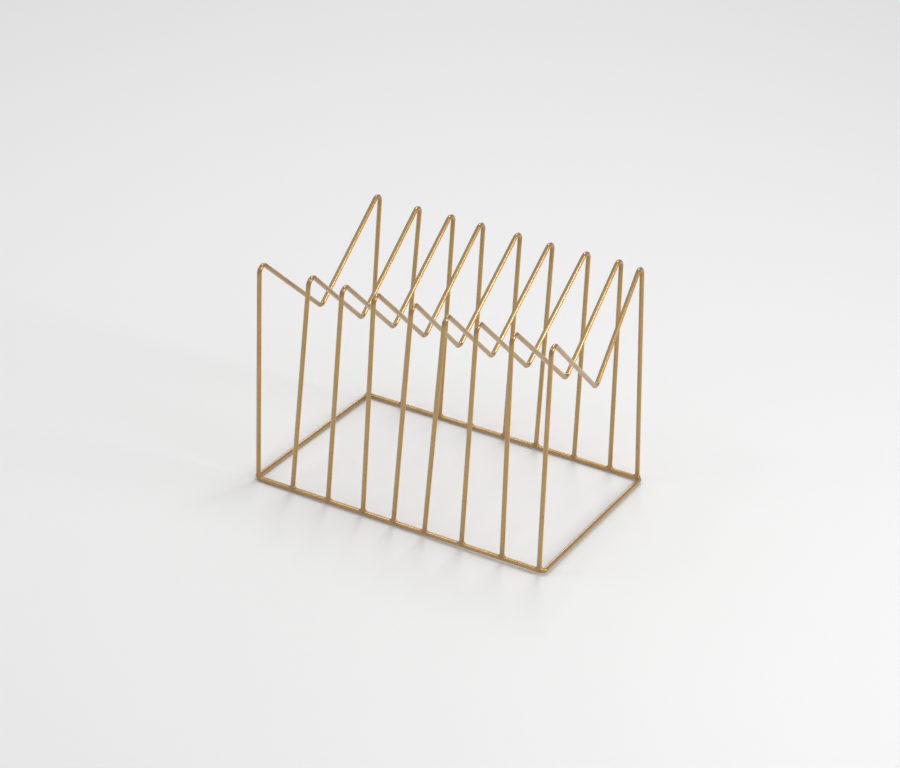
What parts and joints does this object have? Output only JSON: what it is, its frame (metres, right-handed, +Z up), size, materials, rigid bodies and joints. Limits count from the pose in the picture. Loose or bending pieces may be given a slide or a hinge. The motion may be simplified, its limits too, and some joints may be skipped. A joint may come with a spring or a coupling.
{
  "type": "photo album stand",
  "caption": "Gold wire stand with M-shaped dividers welded across a rectangular base ring, holding photo albums upright in a row.",
  "frame": {"origin": "middle of the base ring, on the surface the stand rests on", "axes": "+X along the row of dividers, +Y from the front rail to the back rail, +Z up"},
  "size_m": [0.3106, 0.2158, 0.2208],
  "materials": {
    "base_rod": "satin gold lacquer over steel rod",
    "divider_wire": "satin gold lacquer over steel wire",
    "weld_bead": "satin gold lacquer over a small rough weld"
  },
  "bodies": {
    "root": {"base_frame": "base_rod", "divider_1": "divider_wire", "divider_2": "divider_wire", "divider_3": "divider_wire", "divider_4": "divider_wire", "divider_5": "divider_wire", "divider_6": "divider_wire", "divider_7": "divider_wire", "divider_8": "divider_wire", "divider_9": "divider_wire", "weld_front_1": "weld_bead", "weld_front_2": "weld_bead", "weld_front_3": "weld_bead", "weld_front_4": "weld_bead", "weld_front_5": "weld_bead", "weld_front_6": "weld_bead", "weld_front_7": "weld_bead", "weld_front_8": "weld_bead", "weld_front_9": "weld_bead", "weld_back_1": "weld_bead", "weld_back_2": "weld_bead", "weld_back_3": "weld_bead", "weld_back_4": "weld_bead", "weld_back_5": "weld_bead", "weld_back_6": "weld_bead", "weld_back_7": "weld_bead", "weld_back_8": "weld_bead", "weld_back_9": "weld_bead"}
  },
  "joints": []
}
